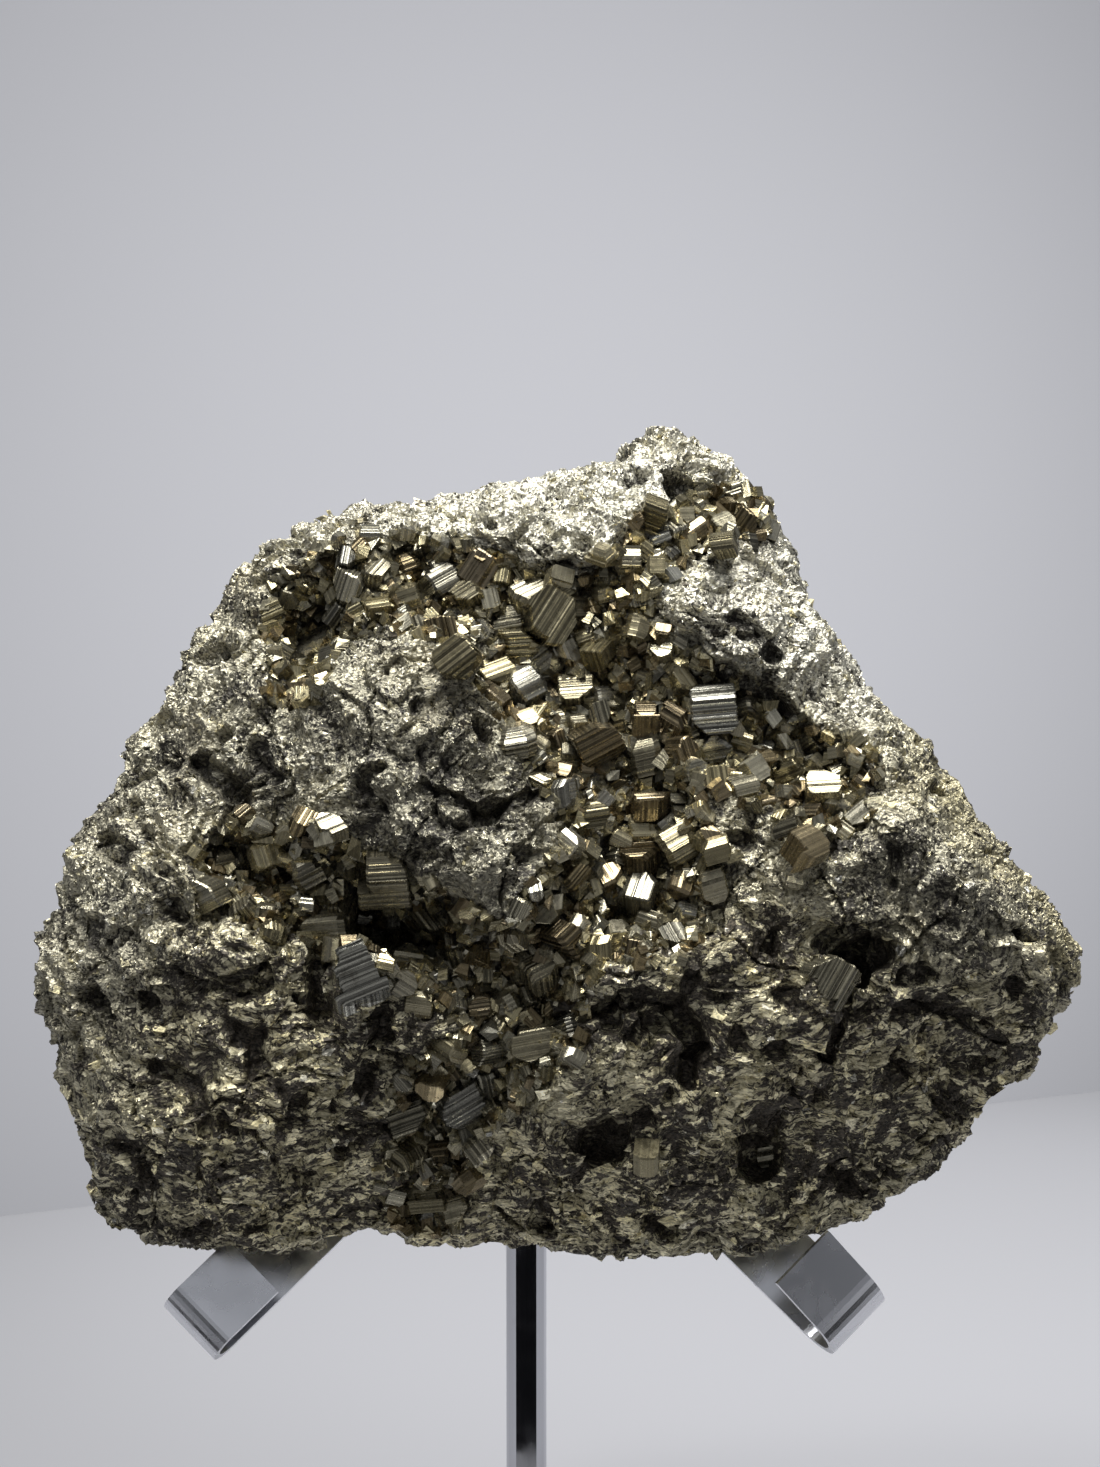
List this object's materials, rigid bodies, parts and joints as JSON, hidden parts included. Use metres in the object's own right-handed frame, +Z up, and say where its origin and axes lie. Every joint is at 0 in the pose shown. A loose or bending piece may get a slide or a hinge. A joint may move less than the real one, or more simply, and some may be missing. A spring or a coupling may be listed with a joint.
{
  "type": "pyrite specimen on a display stand",
  "caption": "Massive pyrite specimen with hollows lined by striated cubic crystals, leaning in the bent arms of a chromed stand with a rod and a round base.",
  "frame": {"origin": "centre of the base plate's underside, on the rod's axis", "axes": "+Z up along the rod; the stone's crystal face looks towards -Y; +X to the right of a viewer at -Y"},
  "size_m": [0.2059, 0.1449, 0.2683],
  "materials": {
    "pyrite": "natural granular pyrite, pale brass-grey metallic grains with dark gaps",
    "pyrite_crystal": "bright striated cube faces of pyrite, some tarnished brown",
    "chromed_steel": "polished chrome plating"
  },
  "bodies": {
    "root": {"pyrite_mass": "pyrite", "crystal_crust": "pyrite_crystal", "left_arm": "chromed_steel", "right_arm": "chromed_steel", "hub": "chromed_steel", "rod": "chromed_steel", "base_plate": "chromed_steel"}
  },
  "joints": []
}
